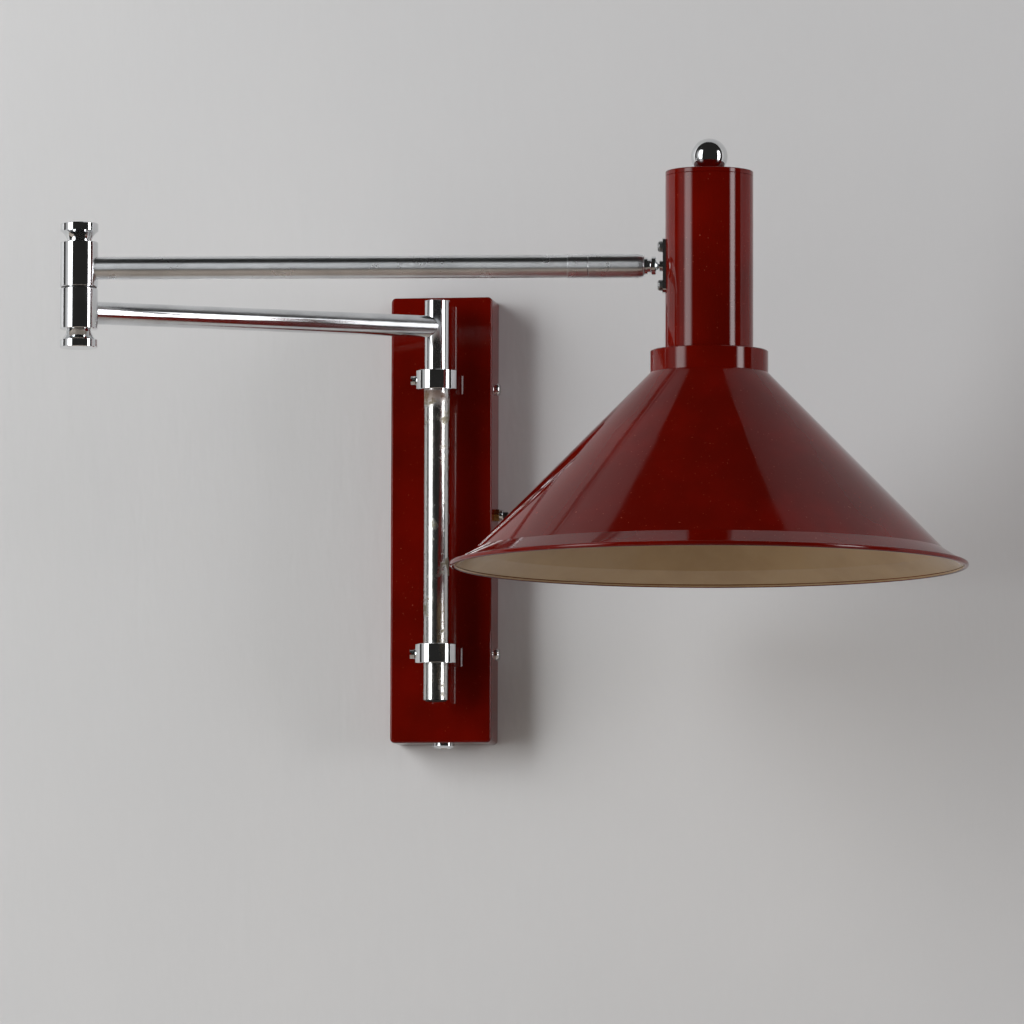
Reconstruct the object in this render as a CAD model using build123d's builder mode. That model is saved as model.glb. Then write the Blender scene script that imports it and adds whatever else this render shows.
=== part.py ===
from build123d import *
import math
import os

# Swing arm wall lamp, in millimetres.
# The origin is the middle of the wall box's back. +Y points into the wall, +Z is up.
# The lower arm stands out from the wall at its angle and falls a little towards the elbow.
# The upper arm is level and comes back towards the wall at its own angle.

# Wall box, an open-backed lacquered cover
box_width = 72
box_height = 315
box_depth = 32
box_wall = 1.6
box_corner = 3.2
box_edge = 1.6

# Back plate that is screwed to the wall, with bent tabs for the cover screws
plate_thickness = 1.5
plate_side_gap = 0.4
plate_end_gap = 4
plate_corner = 3
tab_height = 18
tab_depth = 16
wall_hole_height = 120
wall_hole_radius = 2.75
cable_hole_radius = 11
cable_hole_height = 40

# Cover screws, through the box's sides into the tabs
cover_screw_height = 94
cover_screw_depth = 9
cover_screw_radius = 1.95
cover_screw_length = 7
cover_head_radius = 4.5
cover_head_height = 2.8
cover_head_crown = 2.2
cover_hole_gap = 0.25
thread_gap = 0.05
slot_width = 1.1
slot_depth = 1.1

# Post, which slides and turns in two ring brackets
post_radius = 9
post_wall = 1.5
post_top = 152
post_length = 281
post_offset = 20
post_gap = 0.1
wire_radius = 4.5
lead_radius = 1

# Ring brackets on the box's front, each with a pinch screw
bracket_height = 96.5
ring_radius = 15
ring_length = 13.5
ring_edge = 0.3
boss_radius = 6.5
stud_radius = 4
stud_gap = 0.2
stud_length = 15
washer_radius = 10
washer_thickness = 1.6
nut_flat = 6.5
nut_height = 6.5
pinch_radius = 2
pinch_head_radius = 3.7
pinch_head_height = 3.2
pinch_tip_gap = 0.3

# Bush in the post's lower end, where the flex leaves
bush_length = 12
bush_lip = 0.8
bush_gap = 0.1
flex_radius = 3.6

# Arms
arm_radius = 7.75
arm_wall = 1.25
lower_arm_length = 301.4
lower_arm_angle = 44.6
lower_arm_drop = 17.6
lower_arm_fall = 10.2
upper_arm_angle = 5.3
arm_reach = 431.2

# Elbow: two barrels on a through stud, with a washer in the seam and a knob at each end
barrel_radius = 13
barrel_edge = 0.5
barrel_web = 4
barrel_cavity = 9.5
lower_barrel_height = 28
lower_barrel_rise = 16.3
upper_barrel_height = 31
upper_barrel_drop = 13.1
seam_thickness = 0.8
seam_inset = 0.8
elbow_gap = 0.1
pivot_radius = 4
pivot_gap = 0.1
pivot_reach = 8
lead_ring_radius = 6.6
knob_neck_radius = 8.1
knob_rim_radius = 13
knob_rim_height = 5.3
knob_flare_height = 7.4
knob_hollow = 0.85
knob_hollow_rise = 0.5
knob_edge = 0.5
knob_gap = 0.1
knob_thread_gap = 0.1
knob_hole_depth = 9.5

# Arm end: a ferrule on the tube, a turning sleeve and a ball swivel
ferrule_radius = 8.1
ferrule_length = 13.9
ferrule_edge = 0.3
spigot_length = 16
journal_radius = 6
journal_length = 27
journal_gap = 0.1
sleeve_radius = 8.25
sleeve_length = 38.1
sleeve_gap = 0.15
sleeve_taper_length = 4
sleeve_taper = 0.7
sleeve_edge = 0.3
sleeve_bore_gap = 1.2
cup_disc_radius = 5.8
cup_disc_gap = 0.3
cup_disc_length = 2
cup_waist_radius = 4.5
cup_waist_length = 1.9
cup_flare_length = 1
cup_land_length = 2.9
cup_radius = 6.5
cup_spigot_radius = 3
cup_spigot_length = 5
ball_radius = 3.8
ball_gap = 0.1
ball_mouth = 1.8
ball_stud_radius = 1.8
ball_stud_length = 4.2
stud_flange_radius = 3.75
stud_flange_height = 1.6
rivet_radius = 2.2

# Curved plate that carries the head on the ball stud
head_plate_height = 37.6
head_plate_width = 14
head_plate_thickness = 2.2
head_screw_height = 13.3
head_screw_radius = 1.95
head_screw_length = 8
head_screw_head_radius = 3.75
head_screw_head_height = 3
head_screw_crown = 1.8
backing_thickness = 2
backing_gap = 0.1

# Neck, cap and ball finial
neck_radius = 30
neck_wall = 1
neck_height = 123
neck_rise = 64.6
cap_height = 3.3
cap_seam_edge = 0.3
cap_web = 1.4
cap_spigot_wall = 1.2
cap_spigot_length = 7
cap_gap = 0.1
finial_radius = 12.5
finial_rise = 10.3
nipple_radius = 5
nipple_bore = 3.5
nipple_in_finial = 9
nipple_length = 56
nipple_nut_flat = 7
nipple_nut_height = 4

# Collar ring that joins the neck to the cone
collar_radius = 40.25
collar_height = 15
collar_top = 3.4
collar_wall = 1.8
collar_edge = 0.6
flange_gap = 0.1
flange_screw_count = 3
flange_screw_radius = 1.5
flange_screw_ring_radius = 34.2
flange_head_radius = 2.8
flange_head_height = 1.8

# Spun cone with its flared lip and rolled rim
shade_wall = 1
cone_radius = 160
cone_drop = 121.2
lip_reach = 15
lip_drop = 9.4
rim_radius = 1.7

# Screw cap lampholder inside the neck
holder_radius = 21
holder_wall = 2.2
holder_mouth_radius = 19
holder_height = 40
dome_height = 16
dome_top_radius = 9
shell_radius = 13.4
shell_thickness = 0.5
shell_length = 26
shell_recess = 3
insulator_radius = 17.5
insulator_height = 7
contact_radius = 3.5
contact_height = 2.5

# Push switch on the box's right side
switch_height = 4
switch_depth = 16
switch_bush_radius = 3.2
switch_bush_proud = 4.2
switch_ring_radius = 3.9
switch_ring_length = 1.9
switch_nut_flat = 4.1
switch_nut_height = 3.4
switch_body_width = 13
switch_body_height = 20
switch_body_length = 15
switch_bore_depth = 12
button_radius = 2.3
button_gap = 0.3
button_proud = 3.6
button_travel = 2.5
button_length = 14

# Cable grommet in the box's bottom, and the terminal block inside
grommet_radius = 7.6
grommet_proud = 3.2
grommet_neck_radius = 5.6
grommet_hole_taper = 0.4
grommet_bore = 3.6
grommet_nut_flat = 8
grommet_nut_height = 4
block_width = 30
block_height = 18
block_depth = 13
block_poles = 3
block_pole_radius = 2.2
block_drop = 60

# Places worked out from the sizes above
box_front = -box_depth
box_bottom = -box_height / 2
post_y = box_front - post_offset
lower_arm_start_z = post_top - lower_arm_drop
lower_arm_end_z = lower_arm_start_z - lower_arm_fall
elbow_x = -lower_arm_length * math.cos(math.radians(lower_arm_angle))
elbow_y = post_y - lower_arm_length * math.sin(math.radians(lower_arm_angle))
lower_arm_way = Vector(elbow_x, elbow_y - post_y, -lower_arm_fall).normalized()
lower_barrel_top = lower_arm_end_z + lower_barrel_rise
lower_barrel_bottom = lower_barrel_top - lower_barrel_height
upper_barrel_bottom = lower_barrel_top + seam_thickness + elbow_gap
upper_barrel_top = upper_barrel_bottom + upper_barrel_height
upper_arm_z = upper_barrel_bottom + upper_barrel_drop
upper_arm_way = Vector(
    math.cos(math.radians(upper_arm_angle)), math.sin(math.radians(upper_arm_angle)), 0
)
upper_arm_side = Vector(-upper_arm_way.Y, upper_arm_way.X, 0)
head_x = elbow_x + arm_reach * upper_arm_way.X
head_y = elbow_y + arm_reach * upper_arm_way.Y
neck_top = upper_arm_z + neck_rise
collar_z = neck_top - neck_height

# Distances along the upper arm, measured from the elbow
neck_face = arm_reach - neck_radius
plate_face = neck_face - head_plate_thickness
flange_face = plate_face - stud_flange_height
ball_centre = flange_face - ball_stud_length
cup_waist_start = cup_disc_gap + cup_disc_length
cup_waist_end = cup_waist_start + cup_waist_length
cup_length = cup_waist_end + cup_flare_length + cup_land_length
sleeve_end = ball_centre + ball_mouth - cup_length
sleeve_start = sleeve_end - sleeve_length
ferrule_end = sleeve_start - sleeve_gap
ferrule_start = ferrule_end - ferrule_length

os.makedirs("parts", exist_ok=True)


def keep(piece, name):
    """Label a finished piece and write it."""
    piece.part.label = name
    export_step(piece.part, f"parts/{name}.step")


def level(x, y, z):
    """A horizontal plane, facing up."""
    return Plane(origin=(x, y, z), x_dir=(1, 0, 0), z_dir=(0, 0, 1))


def upright(x, y, z):
    """A plane parallel to the wall. Its local x is X, and its local y is Z."""
    return Plane(origin=(x, y, z), x_dir=(1, 0, 0), z_dir=(0, -1, 0))


def facing_x(x, y, z):
    """A plane that faces +X. Its local x is Y, and its local y is Z."""
    return Plane(origin=(x, y, z), x_dir=(0, 1, 0), z_dir=(1, 0, 0))


def on_arm(distance):
    """A point on the upper arm's axis, at a distance from the elbow."""
    return Vector(elbow_x, elbow_y, upper_arm_z) + upper_arm_way * distance


def across_arm(distance):
    """A plane square to the upper arm. Its local x is level, and its local y is Z."""
    return Plane(origin=on_arm(distance), x_dir=upper_arm_side, z_dir=upper_arm_way)


def along_arm(distance):
    """A vertical plane through the upper arm. Its local x is the arm's, its local y is Z."""
    return Plane(origin=on_arm(distance), x_dir=upper_arm_way, z_dir=-upper_arm_side)


def vertical(x, y):
    """The vertical axis through a point."""
    return Axis((x, y, 0), (0, 0, 1))


# Wall box: a folded cover with rounded corners, holes for what passes through it
inner_width = box_width - 2 * box_wall
switch_hole_radius = switch_bush_radius + stud_gap
grommet_hole_radius = grommet_neck_radius + stud_gap
with BuildPart() as wall_box:
    with BuildSketch(Plane.XZ):
        RectangleRounded(box_width, box_height, box_corner)
    extrude(amount=box_depth)
    fillet(wall_box.faces().sort_by(Axis.Y)[0].edges(), box_edge)
    with BuildSketch(Plane.XZ):
        RectangleRounded(
            inner_width, box_height - 2 * box_wall, box_corner - box_wall
        )
    extrude(amount=box_depth - box_wall, mode=Mode.SUBTRACT)
    with BuildSketch(upright(0, box_front + 2 * box_wall, 0)):
        with GridLocations(0, 2 * bracket_height, 1, 2):
            Circle(stud_radius + stud_gap)
    extrude(amount=4 * box_wall, mode=Mode.SUBTRACT)
    with BuildSketch(facing_x(-box_width, -cover_screw_depth, 0)):
        with GridLocations(0, 2 * cover_screw_height, 1, 2):
            Circle(cover_screw_radius + cover_hole_gap)
    extrude(amount=2 * box_width, mode=Mode.SUBTRACT)
    with BuildSketch(facing_x(0, -switch_depth, switch_height)):
        Circle(switch_hole_radius)
    extrude(amount=box_width, mode=Mode.SUBTRACT)
    with Locations((0, -box_depth / 2, box_bottom + box_wall / 2)):
        Cone(
            grommet_hole_radius + grommet_hole_taper,
            grommet_hole_radius,
            2 * box_wall,
            mode=Mode.SUBTRACT,
        )
keep(wall_box, "wall_box")

# Back plate: flat steel with four bent tabs
plate_width = inner_width - 2 * plate_side_gap
plate_height = box_height - 2 * (box_wall + plate_end_gap)
tab_x = plate_width / 2 - plate_thickness / 2
with BuildPart() as back_plate:
    with BuildSketch(Plane.XZ):
        RectangleRounded(plate_width, plate_height, plate_corner)
        with GridLocations(0, 2 * wall_hole_height, 1, 2):
            Circle(wall_hole_radius, mode=Mode.SUBTRACT)
        with Locations((0, cable_hole_height)):
            Circle(cable_hole_radius, mode=Mode.SUBTRACT)
    extrude(amount=plate_thickness)
    with BuildSketch(Plane.XZ):
        with GridLocations(2 * tab_x, 2 * cover_screw_height, 2, 2):
            Rectangle(plate_thickness, tab_height)
    extrude(amount=tab_depth)
    with BuildSketch(facing_x(-box_width, -cover_screw_depth, 0)):
        with GridLocations(0, 2 * cover_screw_height, 1, 2):
            Circle(cover_screw_radius + thread_gap)
    extrude(amount=2 * box_width, mode=Mode.SUBTRACT)
keep(back_plate, "back_plate")

# Cover screws: domed heads with a slot, two on each side
with BuildPart() as cover_screws:
    for side in (-1, 1):
        for height in (-cover_screw_height, cover_screw_height):
            seat = Plane(
                origin=(side * box_width / 2, -cover_screw_depth, height),
                x_dir=(0, 1, 0),
                z_dir=(side, 0, 0),
            )
            with BuildSketch(seat):
                Circle(cover_screw_radius)
            extrude(amount=-cover_screw_length)
            with BuildSketch(seat):
                Circle(cover_head_radius)
            extrude(amount=cover_head_height)
            outward = Axis(seat.origin, seat.z_dir)
            crown = cover_screws.faces(Select.LAST).sort_by(outward)[-1]
            fillet(crown.edges(), cover_head_crown)
            with BuildSketch(seat.offset(cover_head_height)):
                Rectangle(slot_width, 2 * cover_head_radius)
            extrude(amount=-slot_depth, mode=Mode.SUBTRACT)
keep(cover_screws, "cover_screws")

# Ring brackets: a turned ring on a boss, with a stud through the box's front
for name, height in (
    ("upper_bracket", bracket_height),
    ("lower_bracket", -bracket_height),
):
    with BuildPart() as bracket:
        with BuildSketch(level(0, post_y, height - ring_length / 2)):
            Circle(ring_radius)
        extrude(amount=ring_length)
        chamfer(bracket.edges().filter_by(GeomType.CIRCLE), ring_edge)
        with BuildSketch(upright(0, box_front, height)):
            Circle(boss_radius)
        extrude(amount=post_offset - (ring_radius + post_radius) / 2)
        with BuildSketch(upright(0, box_front, height)):
            Circle(stud_radius)
        extrude(amount=-stud_length)
        with BuildSketch(level(0, post_y, height - ring_length)):
            Circle(post_radius + post_gap)
        extrude(amount=2 * ring_length, mode=Mode.SUBTRACT)
        with BuildSketch(facing_x(0, post_y, height)):
            Circle(pinch_radius + thread_gap)
        extrude(amount=-2 * ring_radius, mode=Mode.SUBTRACT)
    keep(bracket, name)

# Pinch screws in the rings' left sides
with BuildPart() as pinch_screws:
    for height in (-bracket_height, bracket_height):
        seat = Plane(
            origin=(-ring_radius, post_y, height), x_dir=(0, 1, 0), z_dir=(-1, 0, 0)
        )
        with BuildSketch(seat):
            Circle(pinch_radius)
        extrude(amount=-(ring_radius - post_radius - pinch_tip_gap))
        with BuildSketch(seat):
            Circle(pinch_head_radius)
        extrude(amount=pinch_head_height)
        with BuildSketch(seat.offset(pinch_head_height)):
            Rectangle(2 * pinch_head_radius, slot_width)
        extrude(amount=-slot_depth, mode=Mode.SUBTRACT)
keep(pinch_screws, "pinch_screws")

# Washers and nuts on the bracket studs, inside the box
stud_inside = box_front + box_wall
with BuildPart() as bracket_washers:
    with BuildSketch(upright(0, stud_inside, 0)):
        with GridLocations(0, 2 * bracket_height, 1, 2):
            Circle(washer_radius)
            Circle(stud_radius + stud_gap, mode=Mode.SUBTRACT)
    extrude(amount=-washer_thickness)
keep(bracket_washers, "bracket_washers")

with BuildPart() as bracket_nuts:
    with BuildSketch(upright(0, stud_inside + washer_thickness, 0)):
        with GridLocations(0, 2 * bracket_height, 1, 2):
            RegularPolygon(nut_flat, 6, major_radius=False)
            Circle(stud_radius + thread_gap, mode=Mode.SUBTRACT)
    extrude(amount=-nut_height)
keep(bracket_nuts, "bracket_nuts")

# Cable grommet: a cupped bush in the box's bottom with its nut inside
grommet_axis = vertical(0, -box_depth / 2)
grommet_plane = upright(0, -box_depth / 2, box_bottom)
grommet_inside = box_wall + grommet_nut_height + box_wall
with BuildPart() as cable_grommet:
    with BuildSketch(grommet_plane):
        with BuildLine():
            Polyline(
                (grommet_bore, grommet_inside),
                (grommet_neck_radius, grommet_inside),
                (grommet_neck_radius, 0),
                (grommet_radius, 0),
                (grommet_radius, -grommet_proud / 2),
                (grommet_neck_radius, -grommet_proud),
                (grommet_neck_radius - box_wall / 2, -grommet_proud),
                (grommet_bore, -grommet_proud / 2),
                close=True,
            )
        make_face()
    revolve(axis=grommet_axis)
keep(cable_grommet, "cable_grommet")

with BuildPart() as grommet_nut:
    with BuildSketch(level(0, -box_depth / 2, box_bottom + box_wall)):
        RegularPolygon(grommet_nut_flat, 6, major_radius=False)
        Circle(grommet_neck_radius + thread_gap, mode=Mode.SUBTRACT)
    extrude(amount=grommet_nut_height)
keep(grommet_nut, "grommet_nut")

# Terminal block on the back plate
with BuildPart() as terminal_block:
    with BuildSketch(upright(0, -plate_thickness, -block_drop)):
        Rectangle(block_width, block_height)
    extrude(amount=block_depth)
    fillet(terminal_block.edges().filter_by(Axis.Y), block_pole_radius / 2)
    with BuildSketch(level(0, -plate_thickness - block_depth / 2, -block_drop - block_height)):
        with GridLocations(block_width / block_poles, 0, block_poles, 1):
            Circle(block_pole_radius)
    extrude(amount=2 * block_height, mode=Mode.SUBTRACT)
keep(terminal_block, "terminal_block")

# Push switch: body inside, threaded bush through the side, ring at its mouth, nut outside
side_x = box_width / 2
switch_mouth = switch_bush_proud + switch_ring_length
with BuildPart() as switch_body:
    with BuildSketch(facing_x(side_x - box_wall, -switch_depth, switch_height)):
        Rectangle(switch_body_width, switch_body_height)
    extrude(amount=-switch_body_length)
    fillet(switch_body.edges().filter_by(Axis.X), switch_ring_length / 2)
    with BuildSketch(facing_x(side_x, -switch_depth, switch_height)):
        Circle(button_radius + button_gap)
    extrude(amount=-switch_bore_depth, mode=Mode.SUBTRACT)
keep(switch_body, "switch_body")

with BuildPart() as switch_bush:
    with BuildSketch(facing_x(side_x - box_wall, -switch_depth, switch_height)):
        Circle(switch_bush_radius)
    extrude(amount=box_wall + switch_bush_proud)
    with BuildSketch(facing_x(side_x + switch_bush_proud, -switch_depth, switch_height)):
        Circle(switch_ring_radius)
    extrude(amount=switch_ring_length)
    fillet(switch_bush.faces().sort_by(Axis.X)[-1].edges(), switch_ring_length / 4)
    with BuildSketch(facing_x(0, -switch_depth, switch_height)):
        Circle(button_radius + button_gap)
    extrude(amount=box_width, mode=Mode.SUBTRACT)
keep(switch_bush, "switch_bush")

with BuildPart() as switch_nut:
    with BuildSketch(facing_x(side_x, -switch_depth, switch_height)):
        RegularPolygon(switch_nut_flat, 6, major_radius=False)
        Circle(switch_bush_radius + thread_gap, mode=Mode.SUBTRACT)
    extrude(amount=switch_nut_height)
keep(switch_nut, "switch_nut")

button_end_x = side_x + switch_mouth + button_proud
with BuildPart() as switch_button:
    with BuildSketch(facing_x(button_end_x, -switch_depth, switch_height)):
        Circle(button_radius)
    extrude(amount=-button_length)
    fillet(switch_button.faces().sort_by(Axis.X)[-1].edges(), button_radius / 3)
keep(switch_button, "switch_button")

# Post: a tube with a plug in its top and a hole where the lower arm opens into it
post_bottom = post_top - post_length
arm_start = Plane(
    origin=(0, post_y, lower_arm_start_z),
    x_dir=(-lower_arm_way.Y, lower_arm_way.X, 0),
    z_dir=lower_arm_way,
)
with BuildPart() as post_tube:
    with BuildSketch(level(0, post_y, post_bottom)):
        Circle(post_radius)
        Circle(post_radius - post_wall, mode=Mode.SUBTRACT)
    extrude(amount=post_length)
    with BuildSketch(arm_start):
        Circle(wire_radius)
    extrude(amount=2 * post_radius, mode=Mode.SUBTRACT)
keep(post_tube, "post_tube")

plug_flange = barrel_edge + ring_edge
with BuildPart() as post_plug:
    with BuildSketch(level(0, post_y, post_top)):
        Circle(post_radius)
    extrude(amount=plug_flange)
    fillet(post_plug.faces().sort_by(Axis.Z)[-1].edges(), plug_flange / 2)
    with BuildSketch(level(0, post_y, post_top)):
        Circle(post_radius - post_wall - thread_gap)
    extrude(amount=-post_radius)
keep(post_plug, "post_plug")

# Bush in the post's lower end
with BuildPart() as post_end_bush:
    with BuildSketch(level(0, post_y, post_bottom - bush_lip)):
        Circle(post_radius - post_wall - bush_gap)
        Circle(flex_radius, mode=Mode.SUBTRACT)
    extrude(amount=bush_lip + bush_length)
    mouth = post_end_bush.edges().group_by(Axis.Z)[0]
    fillet(mouth, bush_lip / 2)
keep(post_end_bush, "post_end_bush")

# Lower arm: a tube coped to the post at one end and to the barrel at the other
with BuildPart() as lower_arm_tube:
    with BuildSketch(arm_start):
        Circle(arm_radius)
        Circle(arm_radius - arm_wall, mode=Mode.SUBTRACT)
    extrude(amount=lower_arm_length)
    with BuildSketch(level(0, post_y, lower_arm_start_z - 2 * arm_radius)):
        Circle(post_radius)
    extrude(amount=4 * arm_radius, mode=Mode.SUBTRACT)
    with BuildSketch(level(elbow_x, elbow_y, lower_arm_end_z - 2 * arm_radius)):
        Circle(barrel_radius)
    extrude(amount=4 * arm_radius, mode=Mode.SUBTRACT)
keep(lower_arm_tube, "lower_arm_tube")

# Elbow barrels: turned drums, hollow for the flex, bored for the pivot stud
lower_barrel_sizes = (lower_barrel_bottom, lower_barrel_height, lower_barrel_top)
upper_barrel_sizes = (upper_barrel_bottom, upper_barrel_height, upper_barrel_bottom)
for name, sizes, arm_z, arm_way in (
    ("elbow_lower_barrel", lower_barrel_sizes, lower_arm_end_z, -lower_arm_way),
    ("elbow_upper_barrel", upper_barrel_sizes, upper_arm_z, upper_arm_way),
):
    bottom, height, seam = sizes
    with BuildPart() as barrel:
        with BuildSketch(level(elbow_x, elbow_y, bottom)):
            Circle(barrel_radius)
        extrude(amount=height)
        chamfer(barrel.edges().filter_by(GeomType.CIRCLE), barrel_edge)
        with BuildSketch(level(elbow_x, elbow_y, bottom + barrel_web)):
            Circle(barrel_cavity)
        extrude(amount=height - 2 * barrel_web, mode=Mode.SUBTRACT)
        with BuildSketch(level(elbow_x, elbow_y, bottom)):
            Circle(pivot_radius + pivot_gap)
        extrude(amount=height, mode=Mode.SUBTRACT)
        arm_side = Vector(-arm_way.Y, arm_way.X, 0)
        with BuildSketch(
            Plane(origin=(elbow_x, elbow_y, arm_z), x_dir=arm_side, z_dir=arm_way)
        ):
            Circle(wire_radius)
        extrude(amount=2 * barrel_radius, mode=Mode.SUBTRACT)
        with BuildSketch(level(elbow_x, elbow_y, seam)):
            Circle(lead_ring_radius)
        extrude(amount=barrel_web, both=True, mode=Mode.SUBTRACT)
    keep(barrel, name)

# Washer in the seam between the barrels
with BuildPart() as elbow_washer:
    with BuildSketch(level(elbow_x, elbow_y, lower_barrel_top)):
        Circle(barrel_radius - seam_inset)
        Circle(lead_ring_radius, mode=Mode.SUBTRACT)
    extrude(amount=seam_thickness)
keep(elbow_washer, "elbow_washer")

# Pivot stud through both barrels, threaded into both knobs
with BuildPart() as pivot_stud:
    with BuildSketch(level(elbow_x, elbow_y, lower_barrel_bottom - pivot_reach)):
        Circle(pivot_radius)
    extrude(amount=upper_barrel_top - lower_barrel_bottom + 2 * pivot_reach)
    chamfer(pivot_stud.edges().filter_by(GeomType.CIRCLE), barrel_edge)
keep(pivot_stud, "pivot_stud")

# Spool knobs: a flared neck and a plain rim, one at each end of the elbow
knob_height = knob_flare_height + knob_rim_height
for name, seat, way in (
    ("top_knob", upper_barrel_top + knob_gap, 1),
    ("bottom_knob", lower_barrel_bottom - knob_gap, -1),
):
    with BuildPart() as knob:
        with BuildSketch(upright(elbow_x, elbow_y, seat)):
            with BuildLine():
                neck = (knob_neck_radius, 0)
                rim = (knob_rim_radius, way * knob_flare_height)
                middle = (
                    (knob_neck_radius + knob_rim_radius) / 2 - knob_hollow,
                    way * (knob_flare_height / 2 + knob_hollow_rise),
                )
                ThreePointArc(neck, middle, rim)
                Polyline(
                    rim,
                    (knob_rim_radius, way * (knob_height - knob_edge)),
                    (knob_rim_radius - knob_edge, way * knob_height),
                    (0, way * knob_height),
                    (0, way * knob_hole_depth),
                    (pivot_radius + knob_thread_gap, way * knob_hole_depth),
                    (pivot_radius + knob_thread_gap, 0),
                    neck,
                )
            make_face()
        revolve(axis=vertical(elbow_x, elbow_y))
    keep(knob, name)

# Upper arm: a straight tube from the upper barrel to the ferrule
with BuildPart() as upper_arm_tube:
    with BuildSketch(across_arm(0)):
        Circle(arm_radius)
        Circle(arm_radius - arm_wall, mode=Mode.SUBTRACT)
    extrude(amount=ferrule_start)
    with BuildSketch(level(elbow_x, elbow_y, upper_arm_z - 2 * arm_radius)):
        Circle(barrel_radius)
    extrude(amount=4 * arm_radius, mode=Mode.SUBTRACT)
keep(upper_arm_tube, "upper_arm_tube")

# Ferrule: a spigot in the tube, a visible ring, and the journal that the sleeve turns on
arm_axis = Axis(on_arm(0), upper_arm_way)
with BuildPart() as arm_ferrule:
    with BuildSketch(across_arm(ferrule_start)):
        Circle(ferrule_radius)
    extrude(amount=ferrule_length)
    chamfer(arm_ferrule.edges().filter_by(GeomType.CIRCLE), ferrule_edge)
    with BuildSketch(across_arm(ferrule_start)):
        Circle(arm_radius - arm_wall - thread_gap)
    extrude(amount=-spigot_length)
    with BuildSketch(across_arm(ferrule_end)):
        Circle(journal_radius)
    extrude(amount=journal_length)
    with BuildSketch(across_arm(ferrule_start - spigot_length)):
        Circle(flex_radius)
    extrude(amount=spigot_length + ferrule_length + journal_length, mode=Mode.SUBTRACT)
keep(arm_ferrule, "arm_ferrule")

# End sleeve: turns on the journal, with its outer end rounded off
with BuildPart() as end_sleeve:
    with BuildSketch(along_arm(sleeve_start)):
        with BuildLine():
            Polyline(
                (0, journal_radius + journal_gap),
                (0, sleeve_radius - sleeve_edge),
                (sleeve_edge, sleeve_radius),
                (sleeve_length - sleeve_taper_length, sleeve_radius),
                (sleeve_length - sleeve_taper, sleeve_radius - sleeve_taper),
                (sleeve_length, sleeve_radius - 2 * sleeve_taper),
                (sleeve_length, cup_spigot_radius + thread_gap),
                (journal_length + sleeve_bore_gap, cup_spigot_radius + thread_gap),
                (journal_length + sleeve_bore_gap, journal_radius + journal_gap),
                close=True,
            )
        make_face()
    revolve(axis=arm_axis)
keep(end_sleeve, "end_sleeve")

# Swivel cup: disc, waist and flared cup that grips the ball
pocket_radius = ball_radius + ball_gap
pocket_x = cup_length - ball_mouth
mouth_radius = math.sqrt(pocket_radius**2 - ball_mouth**2)
pocket_end = pocket_x - math.sqrt(pocket_radius**2 - lead_radius**2)
with BuildPart() as swivel_cup:
    with BuildSketch(along_arm(sleeve_end)):
        with BuildLine():
            Polyline(
                (-cup_spigot_length, lead_radius),
                (-cup_spigot_length, cup_spigot_radius),
                (cup_disc_gap, cup_spigot_radius),
                (cup_disc_gap, cup_disc_radius),
                (cup_waist_start, cup_disc_radius),
                (cup_waist_start, cup_waist_radius),
                (cup_waist_end, cup_waist_radius),
                (cup_waist_end + cup_flare_length, cup_radius),
                (cup_length - barrel_edge, cup_radius),
                (cup_length, cup_radius - barrel_edge),
                (cup_length, mouth_radius),
            )
            ThreePointArc(
                (cup_length, mouth_radius),
                (pocket_x, pocket_radius),
                (pocket_end, lead_radius),
            )
            Line((pocket_end, lead_radius), (-cup_spigot_length, lead_radius))
        make_face()
    revolve(axis=arm_axis)
keep(swivel_cup, "swivel_cup")

# Ball stud: ball, stalk and flange, riveted through the head plate
stalk_start = math.sqrt(ball_radius**2 - ball_stud_radius**2)
ball_end = math.sqrt(ball_radius**2 - lead_radius**2)
stalk_end = ball_stud_length
stud_seat = stalk_end + stud_flange_height
rivet_end = stud_seat + head_plate_thickness + neck_wall + backing_gap + backing_thickness
with BuildPart() as ball_stud:
    with BuildSketch(along_arm(ball_centre)):
        with BuildLine():
            ThreePointArc(
                (-ball_end, lead_radius), (0, ball_radius), (stalk_start, ball_stud_radius)
            )
            Polyline(
                (stalk_start, ball_stud_radius),
                (stalk_end, ball_stud_radius),
                (stalk_end, stud_flange_radius),
                (stud_seat, stud_flange_radius),
                (stud_seat, rivet_radius),
                (rivet_end, rivet_radius),
                (rivet_end, lead_radius),
                (-ball_end, lead_radius),
            )
        make_face()
    revolve(axis=arm_axis)
keep(ball_stud, "ball_stud")

# Head plate and the backing strip inside, both bent round the neck
head_plane = level(head_x, head_y, upper_arm_z)


def strip_on_neck(inner, outer):
    """A strip as tall and wide as the head plate, bent between two radii."""
    with BuildPart() as strip:
        with BuildSketch(head_plane):
            Circle(outer)
            Circle(inner, mode=Mode.SUBTRACT)
        extrude(amount=head_plate_height / 2, both=True)
        with BuildSketch(across_arm(arm_reach)):
            RectangleRounded(head_plate_width, head_plate_height, head_plate_width / 4)
        extrude(amount=-2 * neck_radius, mode=Mode.INTERSECT)
        with BuildSketch(across_arm(arm_reach)):
            with GridLocations(0, 2 * head_screw_height, 1, 2):
                Circle(head_screw_radius + thread_gap)
            Circle(rivet_radius + thread_gap)
        extrude(amount=-2 * neck_radius, mode=Mode.SUBTRACT)
    return strip


head_plate = strip_on_neck(neck_radius, neck_radius + head_plate_thickness)
keep(head_plate, "head_plate")
backing_outer = neck_radius - neck_wall - backing_gap
backing_strip = strip_on_neck(backing_outer - backing_thickness, backing_outer)
keep(backing_strip, "backing_strip")

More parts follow.
